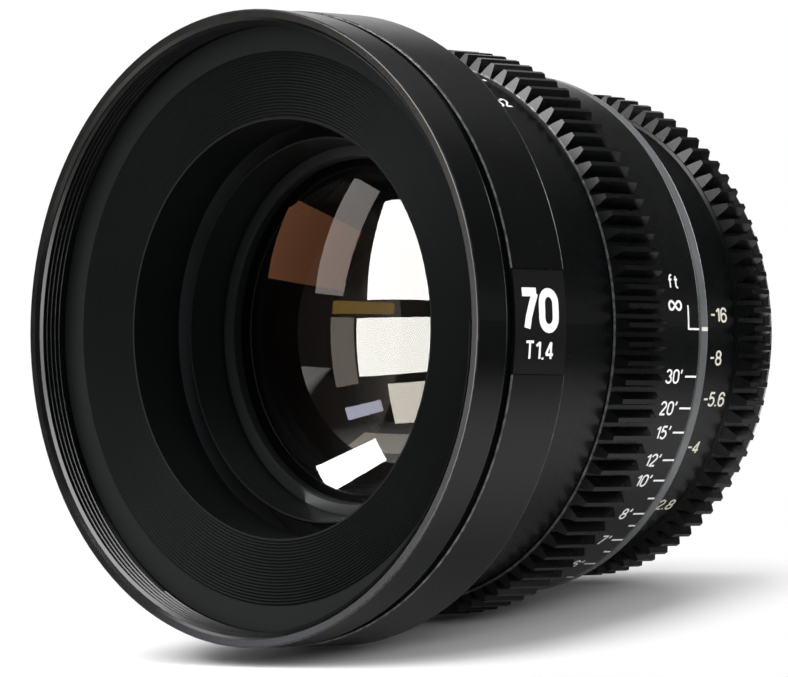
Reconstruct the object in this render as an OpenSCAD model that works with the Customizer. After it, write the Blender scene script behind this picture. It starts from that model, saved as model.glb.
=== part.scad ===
// Cinema prime lens: geared focus and iris rings on a fixed barrel, a sliding lens block and a working iris.
// Millimetres. The optical axis is Y, the front faces -Y, the mount flange is the plane y = 0, +Z is up.

/* [Front] */
// radius of the internal accessory thread at its major diameter
thread_r = 41; // [40.6:0.05:41.2]
// wall of the front ring round its thread, which gives the size that clip-on accessories take
front_wall = 1.5; // [1.2:0.05:3]
// length of the front ring's cylinder
front_len = 5.6; // [4.5:0.1:7]
// width of the groove between front ring and band
groove_len = 1.2; // [0.8:0.1:2]
// depth of that groove
groove_depth = 0.7; // [0.4:0.05:0.8]
// how far the band that carries the label stands out over the front ring
band_rise = 0.1; // [0.05:0.05:1.5]
// length of the band
band_len = 10.1; // [9:0.1:14]
// half of the angle that the label takes
label_half = 9.3; // [6:0.1:14]
// depth of the label's seat
label_depth = 0.45; // [0.3:0.05:0.7]
// radius of the opening in the front baffle
baffle_r = 28.1; // [27.6:0.1:29]
// number of light-trap grooves on the baffle
baffle_grooves = 21; // [6:1:24]
// depth of each light-trap groove
baffle_groove_depth = 0.2; // [0.1:0.05:0.4]

/* [Rings] */
// pressure angle of the teeth
pressure_angle = 20; // [14.5:0.5:22]
// teeth on the focus ring
focus_teeth = 95; // [95:1:98]
// teeth on the aperture ring
iris_teeth = 83; // [83:1:86]
// length of the focus ring
focus_len = 33.35; // [33:0.05:36]
// distance from the focus ring's rear end to its gear
focus_scale_len = 8.8; // [7:0.1:9]
// width of the focus gear
focus_gear_w = 9.4; // [8:0.1:10]
// length of the aperture ring
iris_len = 15.7; // [14.4:0.1:16]
// width of the aperture gear
iris_gear_w = 5.2; // [4.6:0.1:5.4]
// width of the index ring between the two rings
index_w = 1.55; // [1.2:0.05:2]
// turn of the focus ring from infinity to close focus
focus_throw = 195; // [150:5:200]
// travel of the lens block over that turn
focus_travel = 7.2; // [6:0.1:7.4]
// turn of the aperture ring from rest to wide open
iris_open = 87.5; // [80:0.5:88]
// turn of the aperture ring from rest to its smallest stop
iris_shut = 3.5; // [2:0.5:5]

/* [Iris] */
// radius of the stop when wide open
stop_r = 14.5; // [13.5:0.1:15]
// radius of the stop when fully shut
stop_min_r = 1.36; // [1:0.02:3]
// radius of the circle of blade pivots
pivot_r = 23.4; // [23.2:0.1:23.6]
// length of the lever from pivot to drive pin
lever_len = 7; // [6.6:0.1:7.2]
// thickness of a blade
blade_t = 0.2; // [0.15:0.01:0.22]
// axial step from one blade to the next
blade_step = 0.3; // [0.28:0.01:0.32]

/* [Mount] */
// radius of the bayonet flange
flange_r = 31.4; // [30.8:0.1:31.8]
// thickness of the bayonet plate
flange_t = 1.3; // [1.2:0.1:2]
// radius of the bayonet spigot
spigot_r = 25.2; // [24.8:0.1:25.6]
// radius over the bayonet tabs
tab_r = 26.9; // [26.6:0.1:27]
// length of the bayonet behind the flange
bayonet_len = 5.2; // [4.6:0.1:5.6]
// thickness of each tab
tab_t = 1.4; // [1.2:0.1:1.6]

/* [Fits] */
// radial gap of a turning or sliding fit
run_fit = 0.05; // [0.03:0.01:0.08]
// radial gap of a fixed joint
fixed_fit = 0.02; // [0.01:0.01:0.04]
// axial gap between a ring and its neighbours
end_gap = 0.25; // [0.2:0.05:0.35]
// open gap around a moving part
free_gap = 0.3; // [0.25:0.05:0.4]
// edge break on turned parts
edge = 0.25; // [0.15:0.05:0.35]

/* [Hidden] */
$fn = 120;
glass_fn = 300;
edge_steps = 3;
eps = 0.01;
over = 1;
screw_gap = 0.05;
recess_reach = 0.62;
recess_half = 0.15;
recess_depth = 0.45;
gear_module = 0.8;
blades = 8;

// stations along the axis, from the flange forward
plate_y = -flange_t;
rear_flange_t = 1.45;
rear_flange_y = plate_y - rear_flange_t;
iris_y1 = rear_flange_y - end_gap;
iris_y0 = iris_y1 - iris_len;
index_y1 = iris_y0 - free_gap;
index_y0 = index_y1 - index_w;
focus_y1 = index_y0 - end_gap;
focus_y0 = focus_y1 - focus_len;
band_y1 = focus_y0 - end_gap;
band_y0 = band_y1 - band_len;
ring_y1 = band_y0 - groove_len;
front_y = ring_y1 - front_len;
focus_gear_y1 = focus_y1 - focus_scale_len;
focus_gear_y0 = focus_gear_y1 - focus_gear_w;
iris_gear_y0 = iris_y1 - iris_gear_w;

// radii of the two geared rings, from their teeth inward
addendum = gear_module;
dedendum = 1.25 * gear_module;
focus_pitch_r = gear_module * focus_teeth / 2;
iris_pitch_r = gear_module * iris_teeth / 2;
focus_root_r = focus_pitch_r - dedendum;
iris_root_r = iris_pitch_r - dedendum;
front_land_step = 0.4;
scale_land_step = 0.8;
index_step = 0.1;
ring_wall = 3.2;
barrel_wall = 1.8;
iris_wall = 2;
tail_wall = 1.2;
focus_front_r = focus_root_r - front_land_step;
focus_scale_r = focus_root_r - scale_land_step;
iris_scale_r = iris_root_r - front_land_step;
index_r = focus_scale_r - index_step;
barrel_r = focus_scale_r - ring_wall;
barrel_bore = barrel_r - barrel_wall;
tail_r = iris_root_r - iris_wall;
tail_bore = tail_r - tail_wall;
collar_break = 0.2;
root_sink = 0.2;
tooth_inset = 0.06;
tooth_lead = 0.95;
iris_tooth_lead = 1.3;
iris_tooth_trail = 0.3;

// front assembly
front_r = thread_r + front_wall;
band_r = front_r + band_rise;
shoulder_in = 0.6;
shoulder_y = ring_y1 + shoulder_in;
collar_step = 0.8;
collar_wall = 1.6;
collar_len = 4;
collar_r = thread_r - collar_step;
collar_bore = collar_r - collar_wall;
collar_y = band_y0 + collar_len;
rim_lead = 0.4;
web_t = 3;
web_y = band_y1 - web_t;
barrel_flange_t = 2;
barrel_flange_gap = 1.2;
barrel_flange_r = collar_bore - barrel_flange_gap;
barrel_front_y = web_y - barrel_flange_t;
barrel_screws_n = 6;
barrel_screw_ring = (barrel_r + barrel_flange_r) / 2;
barrel_screw_r = 0.8;
barrel_head_r = 1.4;
barrel_head_h = 1;
barrel_screw_skin = 0.6;
barrel_screw_len = barrel_flange_t + web_t - barrel_screw_skin;
baffle_seat_step = 0.5;
baffle_seat_r = thread_r - baffle_seat_step;
baffle_edge_r = baffle_seat_r - fixed_fit;
baffle_rim_t = 1.4;
baffle_dish = 1.45;
baffle_back_t = 1.6;
baffle_tube_in = 2.2;
baffle_tube_end = band_y1 - baffle_tube_in;
baffle_tube_t = 1.1;
baffle_plain = 3.3;
baffle_land = 0.26;
baffle_pitch = (baffle_edge_r - baffle_plain - baffle_r - baffle_land) / baffle_grooves;
label_margin = 0.2;
label_gap = 0.1;

// focusing parts
shoe_len = 6;
shoe_w = 5;
shoe_y1 = -35.5;
shoe_y0 = shoe_y1 - shoe_len;
shoes_n = 3;
shoe_first = 90;
helix_depth = 1.2;
helix_over = 0.4;
shoe_seat_depth = 1.8;
helix_r = barrel_r + helix_depth;
shoe_r = helix_r - free_gap;
shoe_seat_r = barrel_bore - shoe_seat_depth;
shoe_screw_r = 0.7;
shoe_head_r = 1.25;
shoe_head_h = 0.9;
shoe_head_sink = 0.4;
shoe_head_seat = shoe_r - shoe_head_h - shoe_head_sink;
shoe_screw_len = 4;
slot_y0 = shoe_y0 - focus_travel - free_gap;
slot_y1 = shoe_y1 + free_gap;
helix_y0 = slot_y0 - helix_over;
helix_y1 = slot_y1 + helix_over;
stop_pin_r = 1;
stop_pin_in = 4.3;
stop_pin_reach = 1.4;
stop_pin_y = focus_y1 - stop_pin_in;
stop_pin_tip = barrel_r + stop_pin_reach;
stop_groove_r = stop_pin_tip + free_gap;
stop_pin_at = -90;
stop_end_gap = 0.15;

// lens block
block_r = barrel_bore - free_gap;
block_land_r = barrel_bore - run_fit;
block_y0 = -47.5;
block_y1 = -28.9;
block_land = 3.5;
block_iris_wall = 2.25;
block_cell_wall = 4.2;
block_rim_wall = 2.5;
iris_bore = barrel_bore - block_iris_wall;
cell_bore = barrel_bore - block_cell_wall;
cell_flange_r = barrel_bore - block_rim_wall;
cell_flange_t = 1.5;
iris_seat_y = -34.6;
cell_nose_y = -56.4;
cell_nose_r = 26.3;
cell_mouth_r = 25.8;
cell_ring_r = 25.12;
cell_ring_y = -51.2;
cell_tail_y = -35;

// glass of the front group
l1_r = 24.4;
l1_front = 55;
l1_y0 = -54.3;
l1_y1 = -46.7;
l1_clear = 23.4;
l2_r = 20.5;
l2_front = 42;
l2_y0 = -45.6;
l2_y1 = -39;
l2_clear = 19.2;
l3_rear = 60;
l3_clear = 15;
l3_y1 = -37.6;
front_ring_t = 1.65;
doublet_ring_t = 2.6;

// glass of the rear group
rear_r = 19;
rear_clear = 17.4;
l4_front = 60;
l4_clear = 15.5;
l4_y0 = -27.6;
l4_y1 = -23.6;
l5_rear = 40;
l5_y1 = -16.1;
l6_front = 90;
l6_rear = 60;
l6_y0 = -14.6;
l6_y1 = -8.6;
rear_mouth_r = 15.6;
rear_flange_plate = 1.7;
rear_cell_r = 21.6;
rear_cell_y1 = -7;
rear_ring_t = 3;
cell_screws_n = 4;
cell_screw_ring = (iris_bore + block_r) / 2;
cell_screw_r = 0.45;
cell_head_r = 0.7;
cell_head_h = 0.6;
cell_screw_len = 4;

// iris: the blade turns in step with the aperture ring
iris_turn = iris_open + iris_shut;
blade_swing = 2 * asin((stop_r - stop_min_r) / (2 * pivot_r));
blade_ratio = blade_swing / iris_turn;
blade_rest = blade_ratio * iris_open;
blade_edge = 2;
blade_gap = 0.15;
blade_outer_r = pivot_r - blade_edge;
blade_span = 122;
lever_w = 1.7;
arm_half = 1.1;
pin_eye_r = 1.1;
eye_r = 1.35;
pin_r = 0.5;
post_r = 0.6;
iris_plate_t = 1.4;
iris_plate_bore = 15.2;
blade_y0 = iris_seat_y + iris_plate_t + blade_gap;
blade_top = blade_y0 + blade_step * (blades - 1) + blade_t;
cam_y0 = blade_top + free_gap;
cam_t = 1.25;
cam_y1 = cam_y0 + cam_t;
cam_r = iris_bore - 2 * run_fit;
cam_bore = 20.4;
slot_half = pin_r + run_fit;
slot_steps = 26;
slot_over = 0.62;
bar_w = 3;
bar_t = 1.1;
bar_in = 0.15;
bar_r1 = cam_r - bar_in;
bar_r0 = bar_r1 - bar_t;
bar_y1 = -7;
bar_at = 180;
bar_window_r = bar_r0 - free_gap;
fork_w = 7;
fork_t = 2.4;
fork_in = 1;
fork_y0 = iris_y0 + fork_in;
fork_y1 = fork_y0 + fork_t;
fork_r0 = bar_r0 - free_gap;
fork_slot_w = bar_w + 2 * run_fit;
fork_screw_r = 0.5;
fork_head_r = 0.9;
fork_screw_at = (fork_w + fork_slot_w) / 4;
fork_screw_len = 2.6;

// mount
bayonet_bore = 23.6;
tail_flange_rim = 0.6;
tail_flange_r = flange_r + tail_flange_rim;
tail_boss_bore = 26.4;
tail_boss_y = -6;
index_t = 1.3;
tail_flange_big_r = index_r - index_t;
tail_spigot_len = 2;
tail_spigot_y = index_y0 - tail_spigot_len;
tab_in = 0.1;
tab_y1 = bayonet_len - tab_in;
tab_half = 27;
tabs_n = 3;
mount_screws_n = 4;
mount_screw_ring = 28.6;
mount_screw_r = 1;
mount_head_r = 1.9;
mount_head_h = 0.95;
mount_screw_len = 4.2;
mount_screw_first = 45;
lock_slot_w = 2.4;
lock_slot_len = 3;
lock_slot_depth = 0.9;
lock_slot_at = 100;

// depth of a sphere's surface at a given radius
function sag(sphere_r, r) = sphere_r - sqrt(sphere_r * sphere_r - r * r);

// rounded edge of a turned part between two directions, about a centre given as radius and y
function rounded(r, y, a0, a1) =
    [for (k = [0:edge_steps]) let (a = a0 + (a1 - a0) * k / edge_steps) [r + edge * cos(a), y + edge * sin(a)]];

// involute of an angle, in degrees
function inv(a) = tan(a) * 180 / PI - a;

// half of a tooth's angle at radius r
function tooth_half(teeth, r) =
    let (base_r = gear_module * teeth / 2 * cos(pressure_angle))
    90 / teeth + inv(pressure_angle) - inv(acos(base_r / r));

// outline of a full gear with involute flanks
function gear_outline(teeth) =
    let (
        pitch_r = gear_module * teeth / 2,
        low_r = max(pitch_r - dedendum - root_sink, pitch_r * cos(pressure_angle)),
        radii = [for (k = [0:3]) low_r + k * (pitch_r + addendum - low_r) / 3]
    )
    [for (i = [0:teeth - 1], j = [0:7])
        let (
            r = radii[j < 4 ? j : 7 - j],
            a = 360 / teeth * i + (j < 4 ? -1 : 1) * tooth_half(teeth, r)
        )
        [r * cos(a), r * sin(a)]];

// place of a blade's drive pin for a given swing, blade pivot on +X
function pin_at(swing) =
    let (a = swing - blade_swing / 2)
    [pivot_r + lever_len * sin(a), -lever_len * cos(a)];

// the same place seen from the turning cam ring
function pin_in_cam(swing) =
    let (
        p = pin_at(swing),
        turn = iris_open - swing / blade_ratio,
        a = atan2(p[1], p[0]) - turn,
        r = norm(p)
    )
    [r * cos(a), r * sin(a)];

// direction of travel of the pin along its cam slot
function cam_normal(swing) =
    let (
        d = pin_in_cam(swing + eps) - pin_in_cam(swing - eps),
        n = norm(d)
    )
    [-d[1] / n, d[0] / n];

// turned part: a list of [radius, y] points swept round the axis
module turned(points) {
    rotate([-90, 0, 0])
        rotate_extrude()
            polygon(points);
}

// plain tube between two stations
module tube(r_out, r_in, y0, y1) {
    turned([[r_in, y0], [r_out, y0], [r_out, y1], [r_in, y1]]);
}

// prism along the axis from a flat outline seen from the front
module prism(points, y0, y1) {
    translate([0, y1, 0])
        rotate([90, 0, 0])
            linear_extrude(y1 - y0)
                polygon(points);
}

// pie-shaped block between two angles
module wedge(a0, a1, r, y0, y1) {
    steps = ceil((a1 - a0) / 30);
    rim = [for (i = [0:steps]) let (a = a0 + (a1 - a0) * i / steps) [r * cos(a), r * sin(a)]];
    prism(concat([[0, 0]], rim), y0, y1);
}

// copies of a part set round the axis
module around(count, first) {
    for (i = [0:count - 1])
        rotate([0, -(first + i * 360 / count), 0])
            children();
}

// rod parallel to the axis at radius at_r on the +X side
module rod(r, at_r, y0, y1) {
    translate([at_r, y0, 0])
        rotate([-90, 0, 0])
            cylinder(h = y1 - y0, r = r);
}

// rod pointing outward on the +X side
module spoke(r, r0, r1, y) {
    translate([r0, y, 0])
        rotate([0, 90, 0])
            cylinder(h = r1 - r0, r = r);
}

// screw along +Z with its head above z = 0 and a cross recess for the driver
module screw(shank_r, head_r, head_h, length) {
    arm = head_r * recess_reach;
    half = head_r * recess_half;
    difference() {
        union() {
            cylinder(h = head_h, r = head_r);
            translate([0, 0, -length])
                cylinder(h = length + head_h / 2, r = shank_r);
        }
        for (a = [0, 90])
            rotate([0, 0, a])
                translate([-arm, -half, head_h * (1 - recess_depth)])
                    cube([2 * arm, 2 * half, head_h]);
    }
}

// gear teeth with sloping ends, rooted just under the collar between two stations
module teeth(count, y0, y1, lead, trail) {
    low_r = gear_module * count / 2 - dedendum - root_sink;
    tip_r = gear_module * count / 2 + addendum + eps;
    start_y = y0 + tooth_inset;
    end_y = y1 - tooth_inset;
    intersection() {
        prism(gear_outline(count), start_y - over, end_y + over);
        turned([[0, start_y], [low_r, start_y], [tip_r, y0 + lead], [tip_r, y1 - trail], [low_r, end_y], [0, end_y]]);
    }
}

// full sphere of one glass face
module ball(sphere_r, y) {
    translate([0, y, 0])
        sphere(r = sphere_r, $fn = glass_fn);
}

// fixed parts

module front_ring() {
    color("#17181a")
    turned(concat(
        rounded(front_r - edge, front_y + edge, -90, 0),
        rounded(front_r - edge, ring_y1 - edge, 0, 90),
        [
            [front_r - groove_depth, ring_y1],
            [front_r - groove_depth, band_y0],
            [collar_r, band_y0],
            [collar_r, collar_y],
            [collar_bore, collar_y],
            [collar_bore, shoulder_y],
            [baffle_seat_r, shoulder_y],
            [baffle_seat_r, shoulder_y - baffle_rim_t],
            [thread_r, shoulder_y - baffle_rim_t],
            [thread_r, front_y + rim_lead],
            [thread_r + rim_lead, front_y]
        ]
    ));
}

module front_baffle() {
    rim_y = shoulder_y - baffle_rim_t;
    slope = baffle_dish / (baffle_edge_r - baffle_r);
    groove_r = baffle_edge_r - baffle_plain;
    face = [for (i = [0:baffle_grooves - 1], j = [0:1])
        let (r = groove_r - baffle_pitch * (i + j / 2))
        [r, rim_y + slope * (baffle_edge_r - r) + j * baffle_groove_depth]];
    last_r = groove_r - baffle_pitch * baffle_grooves;
    color("#1b1c1e")
    turned(concat(
        [[baffle_edge_r, shoulder_y], [baffle_edge_r, rim_y]],
        face,
        [
            [last_r, rim_y + slope * (baffle_edge_r - last_r)],
            [baffle_r, rim_y + baffle_dish],
            [baffle_r, baffle_tube_end],
            [baffle_r + baffle_tube_t, baffle_tube_end],
            [baffle_r + baffle_tube_t, shoulder_y + baffle_back_t],
            [collar_bore - free_gap, shoulder_y + baffle_back_t],
            [collar_bore - free_gap, shoulder_y]
        ]
    ));
}

module front_barrel() {
    color("#1c1d1f")
    difference() {
        turned(concat(
            rounded(band_r - edge, band_y0 + edge, -90, 0),
            rounded(band_r - edge, band_y1 - edge, 0, 90),
            [
                [barrel_r + fixed_fit, band_y1],
                [barrel_r + fixed_fit, web_y],
                [collar_r + fixed_fit, web_y],
                [collar_r + fixed_fit, band_y0]
            ]
        ));
        intersection() {
            tube(band_r + over, band_r - label_depth, band_y0 - over, band_y1 + over);
            wedge(-label_half, label_half, band_r + 2 * over, band_y0 - over, band_y1 + over);
        }
        around(barrel_screws_n, 0)
            rod(barrel_screw_r, barrel_screw_ring, web_y - over, barrel_front_y + barrel_screw_len);
    }
}

module label_plate() {
    color("#0d0d0e")
    intersection() {
        tube(band_r - label_gap, band_r - label_depth, band_y0 + label_margin, band_y1 - label_margin);
        wedge(-label_half + label_gap, label_half - label_gap, band_r + over, band_y0, band_y1);
    }
}

module inner_barrel() {
    color("#303236")
    difference() {
        turned([
            [barrel_flange_r, barrel_front_y],
            [barrel_flange_r, web_y],
            [barrel_r, web_y],
            [barrel_r, index_y0],
            [barrel_bore, index_y0],
            [barrel_bore, barrel_front_y]
        ]);
        around(shoes_n, shoe_first)
            translate([shoe_seat_r, slot_y0, -shoe_w / 2 - run_fit])
                cube([barrel_r, slot_y1 - slot_y0, shoe_w + 2 * run_fit]);
        around(barrel_screws_n, 0) {
            rod(barrel_screw_r, barrel_screw_ring, barrel_front_y - over, web_y + over);
            rod(barrel_head_r + screw_gap, barrel_screw_ring, barrel_front_y - over, barrel_front_y + barrel_head_h);
        }
        rotate([0, -stop_pin_at, 0])
            spoke(stop_pin_r, barrel_bore - over, barrel_r + over, stop_pin_y);
    }
}

module barrel_screws() {
    color("#8d9096")
    around(barrel_screws_n, 0)
        translate([barrel_screw_ring, barrel_front_y + barrel_head_h, 0])
            rotate([90, 0, 0])
                screw(barrel_screw_r, barrel_head_r, barrel_head_h, barrel_screw_len - barrel_head_h);
}

module focus_stop_pin() {
    color("#9a9da3")
    rotate([0, -stop_pin_at, 0])
        spoke(stop_pin_r, barrel_bore + free_gap, stop_pin_tip, stop_pin_y);
}

module index_ring() {
    color("#6d7075")
    turned(concat(
        [[tail_flange_big_r, index_y0]],
        rounded(index_r - edge, index_y0 + edge, -90, 0),
        rounded(index_r - edge, index_y1 - edge, 0, 90),
        [[tail_flange_big_r, index_y1]]
    ));
}

module rear_barrel() {
    fork_half = asin((fork_w / 2 + free_gap) / fork_r0);
    color("#1c1d1f")
    difference() {
        turned([
            [tail_bore, tail_spigot_y],
            [barrel_bore - fixed_fit, tail_spigot_y],
            [barrel_bore - fixed_fit, index_y0],
            [tail_flange_big_r, index_y0],
            [tail_flange_big_r, index_y1],
            [tail_r, index_y1],
            [tail_r, rear_flange_y],
            [tail_flange_r - edge, rear_flange_y],
            [tail_flange_r, rear_flange_y + edge],
            [tail_flange_r, plate_y],
            [tail_boss_bore, plate_y],
            [tail_boss_bore, tail_boss_y],
            [tail_bore, tail_boss_y]
        ]);
        intersection() {
            tube(tail_r + over, tail_bore - over, fork_y0 - free_gap, fork_y1 + free_gap);
            wedge(bar_at - iris_shut - fork_half, bar_at + iris_open + fork_half,
                tail_r + 2 * over, fork_y0 - over, fork_y1 + over);
        }
        around(mount_screws_n, mount_screw_first)
            rod(mount_screw_r, mount_screw_ring, tail_boss_y - over, plate_y + over);
    }
}

module bayonet_mount() {
    color("#b9bcc1")
    difference() {
        union() {
            turned([
                [bayonet_bore, plate_y],
                [flange_r, plate_y],
                [flange_r, -edge],
                [flange_r - edge, 0],
                [spigot_r, 0],
                [spigot_r, bayonet_len],
                [bayonet_bore, bayonet_len]
            ]);
            around(tabs_n, 0)
                intersection() {
                    tube(tab_r, spigot_r - edge, tab_y1 - tab_t, tab_y1);
                    wedge(-tab_half, tab_half, tab_r + over, tab_y1 - tab_t, tab_y1);
                }
        }
        around(mount_screws_n, mount_screw_first) {
            rod(mount_screw_r, mount_screw_ring, plate_y - over, over);
            rod(mount_head_r + screw_gap, mount_screw_ring, -mount_head_h, over);
        }
        rotate([0, -lock_slot_at, 0])
            translate([mount_screw_ring - lock_slot_len / 2, -lock_slot_depth, -lock_slot_w / 2])
                cube([lock_slot_len, over + lock_slot_depth, lock_slot_w]);
    }
}

module mount_screws() {
    color("#a4a7ad")
    around(mount_screws_n, mount_screw_first)
        translate([mount_screw_ring, -mount_head_h, 0])
            rotate([-90, 0, 0])
                screw(mount_screw_r, mount_head_r, mount_head_h - screw_gap, mount_screw_len);
}

// focus ring

module focus_ring() {
    pin_half = asin((stop_pin_r + stop_end_gap) / barrel_r);
    color("#202124")
    difference() {
        union() {
            turned(concat(
                [[0, focus_y0]],
                rounded(focus_front_r - edge, focus_y0 + edge, -90, 0),
                [
                    [focus_front_r, focus_gear_y0],
                    [focus_root_r - collar_break, focus_gear_y0],
                    [focus_root_r, focus_gear_y0 + collar_break],
                    [focus_root_r, focus_gear_y1 - collar_break],
                    [focus_root_r - collar_break, focus_gear_y1],
                    [focus_scale_r, focus_gear_y1]
                ],
                rounded(focus_scale_r - edge, focus_y1 - edge, 0, 90),
                [[0, focus_y1]]
            ));
            teeth(focus_teeth, focus_gear_y0, focus_gear_y1, tooth_lead, tooth_lead);
        }
        turned([
            [0, focus_y0 - over],
            [barrel_r + run_fit, focus_y0 - over],
            [barrel_r + run_fit, helix_y0],
            [helix_r, helix_y0],
            [helix_r, helix_y1],
            [barrel_r + run_fit, helix_y1],
            [barrel_r + run_fit, focus_y1 + over],
            [0, focus_y1 + over]
        ]);
        intersection() {
            tube(stop_groove_r, barrel_r - over, stop_pin_y - stop_pin_r - free_gap, stop_pin_y + stop_pin_r + free_gap);
            wedge(stop_pin_at - focus_throw - pin_half, stop_pin_at + pin_half,
                stop_groove_r + 4 * over, stop_pin_y - 2 * over, stop_pin_y + 2 * over);
        }
    }
}

// lens block

module lens_block() {
    color("#3a3d42")
    difference() {
        turned([
            [cell_flange_r + run_fit, block_y0],
            [block_land_r, block_y0],
            [block_land_r, block_y0 + block_land],
            [block_r, block_y0 + block_land],
            [block_r, block_y1 - block_land],
            [block_land_r, block_y1 - block_land],
            [block_land_r, block_y1],
            [iris_bore, block_y1],
            [iris_bore, iris_seat_y],
            [cell_bore, iris_seat_y],
            [cell_bore, block_y0 + cell_flange_t],
            [cell_flange_r + run_fit, block_y0 + cell_flange_t]
        ]);
        around(shoes_n, shoe_first) {
            translate([shoe_seat_r, shoe_y0 - fixed_fit, -shoe_w / 2 - fixed_fit])
                cube([over * 4, shoe_len + 2 * fixed_fit, shoe_w + 2 * fixed_fit]);
            spoke(shoe_screw_r, cell_bore - over, shoe_seat_r + over, (shoe_y0 + shoe_y1) / 2);
        }
        around(cell_screws_n, 0)
            rod(cell_screw_r, cell_screw_ring, block_y1 - cell_screw_len, block_y1 + over);
    }
}

module guide_shoes() {
    mid = (shoe_y0 + shoe_y1) / 2;
    color("#b8923f")
    around(shoes_n, shoe_first)
        difference() {
            intersection() {
                translate([shoe_seat_r, shoe_y0, -shoe_w / 2])
                    cube([shoe_r, shoe_len, shoe_w]);
                tube(shoe_r, shoe_seat_r - over, shoe_y0 - over, shoe_y1 + over);
            }
            spoke(shoe_screw_r, shoe_seat_r - over, shoe_r + over, mid);
            spoke(shoe_head_r + screw_gap, shoe_head_seat, shoe_r + over, mid);
        }
}

module shoe_screws() {
    color("#8d9096")
    around(shoes_n, shoe_first)
        translate([shoe_head_seat, (shoe_y0 + shoe_y1) / 2, 0])
            rotate([0, 90, 0])
                screw(shoe_screw_r, shoe_head_r, shoe_head_h, shoe_screw_len);
}

module front_cell() {
    seat_y = l1_y0 + sag(l1_front, l1_clear);
    lip_y = l3_y1 + sag(l3_rear, l3_clear);
    color("#25272a")
    turned([
        [cell_mouth_r, cell_nose_y],
        [cell_nose_r - edge, cell_nose_y],
        [cell_nose_r, cell_nose_y + edge],
        [cell_nose_r, block_y0],
        [cell_flange_r, block_y0],
        [cell_flange_r, block_y0 + cell_flange_t],
        [cell_bore - fixed_fit, block_y0 + cell_flange_t],
        [cell_bore - fixed_fit, cell_tail_y],
        [l3_clear + run_fit, cell_tail_y],
        [l3_clear + run_fit, lip_y],
        [l2_r + fixed_fit, lip_y],
        [l2_r + fixed_fit, l1_y1],
        [l1_r + fixed_fit, l1_y1],
        [l1_r + fixed_fit, seat_y],
        [cell_ring_r, seat_y],
        [cell_ring_r, cell_ring_y]
    ]);
}

module front_retainer() {
    seat_y = l1_y0 + sag(l1_front, l1_clear);
    color("#2b2d31")
    turned([
        [l1_clear, seat_y],
        [l1_clear, seat_y - front_ring_t + edge],
        [l1_clear + edge, seat_y - front_ring_t],
        [cell_ring_r - fixed_fit, seat_y - front_ring_t],
        [cell_ring_r - fixed_fit, seat_y]
    ]);
}

module doublet_retainer() {
    seat_y = l2_y0 + sag(l2_front, l2_clear);
    color("#2b2d31")
    tube(l2_r, l2_clear, seat_y - doublet_ring_t, seat_y);
}

module lens_1() {
    color("#7d6a52")
    intersection() {
        tube(l1_r, 0, l1_y0 - over, l1_y1);
        ball(l1_front, l1_y0 + l1_front);
    }
}

module lens_2() {
    color("#8fa5ad")
    intersection() {
        tube(l2_r, 0, l2_y0 - over, l2_y1);
        ball(l2_front, l2_y0 + l2_front);
    }
}

module lens_3() {
    lip_y = l3_y1 + sag(l3_rear, l3_clear);
    color("#8fa5ad")
    difference() {
        tube(l2_r, 0, l2_y1, lip_y);
        ball(l3_rear, l3_y1 + l3_rear);
    }
}

module rear_cell() {
    bar_half = asin((bar_w / 2 + free_gap) / bar_r0);
    color("#25272a")
    difference() {
        turned([
            [rear_mouth_r, block_y1],
            [block_r, block_y1],
            [block_r, block_y1 + rear_flange_plate],
            [rear_cell_r, block_y1 + rear_flange_plate],
            [rear_cell_r, rear_cell_y1],
            [rear_r + fixed_fit, rear_cell_y1],
            [rear_r + fixed_fit, l4_y0],
            [rear_mouth_r, l4_y0]
        ]);
        intersection() {
            tube(iris_bore, bar_window_r, block_y1 - over, block_y1 + rear_flange_plate + over);
            wedge(bar_at - iris_shut - bar_half, bar_at + iris_open + bar_half,
                block_r + over, block_y1 - over, block_y1 + rear_flange_plate + over);
        }
        around(cell_screws_n, 0) {
            rod(cell_screw_r, cell_screw_ring, block_y1 - over, block_y1 + rear_flange_plate);
            rod(cell_head_r + screw_gap, cell_screw_ring,
                block_y1 + rear_flange_plate - cell_head_h, block_y1 + rear_flange_plate + over);
        }
    }
}

module cell_screws() {
    seat_y = block_y1 + rear_flange_plate - cell_head_h;
    color("#8d9096")
    around(cell_screws_n, 0)
        translate([cell_screw_ring, seat_y, 0])
            rotate([-90, 0, 0])
                screw(cell_screw_r, cell_head_r, cell_head_h, seat_y - block_y1 + cell_screw_len - free_gap);
}

module lens_4() {
    color("#8fa5ad")
    difference() {
        tube(rear_r, 0, l4_y0, l4_y1);
        ball(l4_front, l4_y0 + sag(l4_front, l4_clear) - l4_front);
    }
}

module lens_5() {
    color("#8fa5ad")
    intersection() {
        tube(rear_r, 0, l4_y1, l5_y1 + over);
        ball(l5_rear, l5_y1 - l5_rear);
    }
}

module rear_spacer() {
    color("#2b2d31")
    tube(rear_r, rear_clear, l5_y1 - sag(l5_rear, rear_clear), l6_y0 + sag(l6_front, rear_clear));
}

module lens_6() {
    mid_y = (l6_y0 + sag(l6_front, rear_r) + l6_y1 - sag(l6_rear, rear_r)) / 2;
    color("#8fa5ad")
    union() {
        intersection() {
            tube(rear_r, 0, l6_y0 - over, mid_y);
            ball(l6_front, l6_y0 + l6_front);
        }
        intersection() {
            tube(rear_r, 0, mid_y, l6_y1 + over);
            ball(l6_rear, l6_y1 - l6_rear);
        }
    }
}

module rear_retainer() {
    seat_y = l6_y1 - sag(l6_rear, rear_clear);
    color("#2b2d31")
    tube(rear_r, rear_clear, seat_y, seat_y + rear_ring_t);
}

// iris

module iris_plate() {
    top = iris_seat_y + iris_plate_t;
    color("#44474c")
    union() {
        tube(iris_bore - fixed_fit, iris_plate_bore, iris_seat_y, top);
        around(blades, 0)
            rod(post_r, pivot_r, top - iris_plate_t / 2, blade_top + free_gap / 2);
    }
}

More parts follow.
